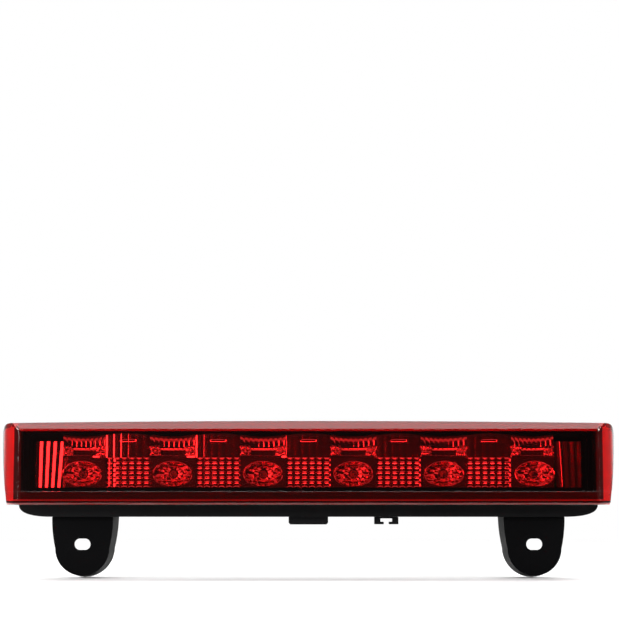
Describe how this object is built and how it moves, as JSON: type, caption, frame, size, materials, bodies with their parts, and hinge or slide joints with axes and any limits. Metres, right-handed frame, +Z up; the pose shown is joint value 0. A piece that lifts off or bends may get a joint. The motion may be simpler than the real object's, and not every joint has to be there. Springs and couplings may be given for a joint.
{
  "type": "third brake light",
  "caption": "High-mounted stop lamp: red lens over a metallised reflector and LEDs in a black tub on two slotted brackets.",
  "frame": {"origin": "middle of the pad on the housing's back, in the mounting plane", "axes": "+X along the lamp to the right as seen from in front of the lens, -Y out of the lens, +Y into the vehicle, +Z up"},
  "size_m": [0.432, 0.058, 0.1101],
  "materials": {
    "red_lens": "polished",
    "black_abs": "satin moulded",
    "metallised": "vacuum metallised",
    "board_green": "solder mask",
    "led_epoxy": "clear moulded",
    "chip_black": "moulded",
    "zinc_steel": "zinc plated",
    "tin_brass": "plated",
    "black_nylon": "moulded",
    "red_pvc": "extruded",
    "black_pvc": "extruded",
    "seal_rubber": "matte",
    "black_rubber": "matte",
    "foam": "closed-cell foam"
  },
  "bodies": {
    "root": {"board_screw_1": "zinc_steel", "board_screw_2": "zinc_steel", "board_screw_3": "zinc_steel", "bracket_left": "black_abs", "bracket_right": "black_abs", "bracket_screw_1": "zinc_steel", "bracket_screw_2": "zinc_steel", "bracket_screw_3": "zinc_steel", "bracket_screw_4": "zinc_steel", "breather_cap": "black_rubber", "circuit_board": "board_green", "connector_body": "black_nylon", "connector_seal": "seal_rubber", "harness_clip": "black_nylon", "housing": "black_abs", "lead_left": "red_pvc", "lead_right": "black_pvc", "led_1": "led_epoxy", "led_2": "led_epoxy", "led_3": "led_epoxy", "led_4": "led_epoxy", "led_5": "led_epoxy", "led_6": "led_epoxy", "lens_seal": "black_rubber", "outer_lens": "red_lens", "polarity_diode": "chip_black", "rear_gasket": "foam", "reflector": "metallised", "resistor_left": "chip_black", "resistor_right": "chip_black", "terminal_pin_left": "tin_brass", "terminal_pin_right": "tin_brass"}
  },
  "joints": []
}
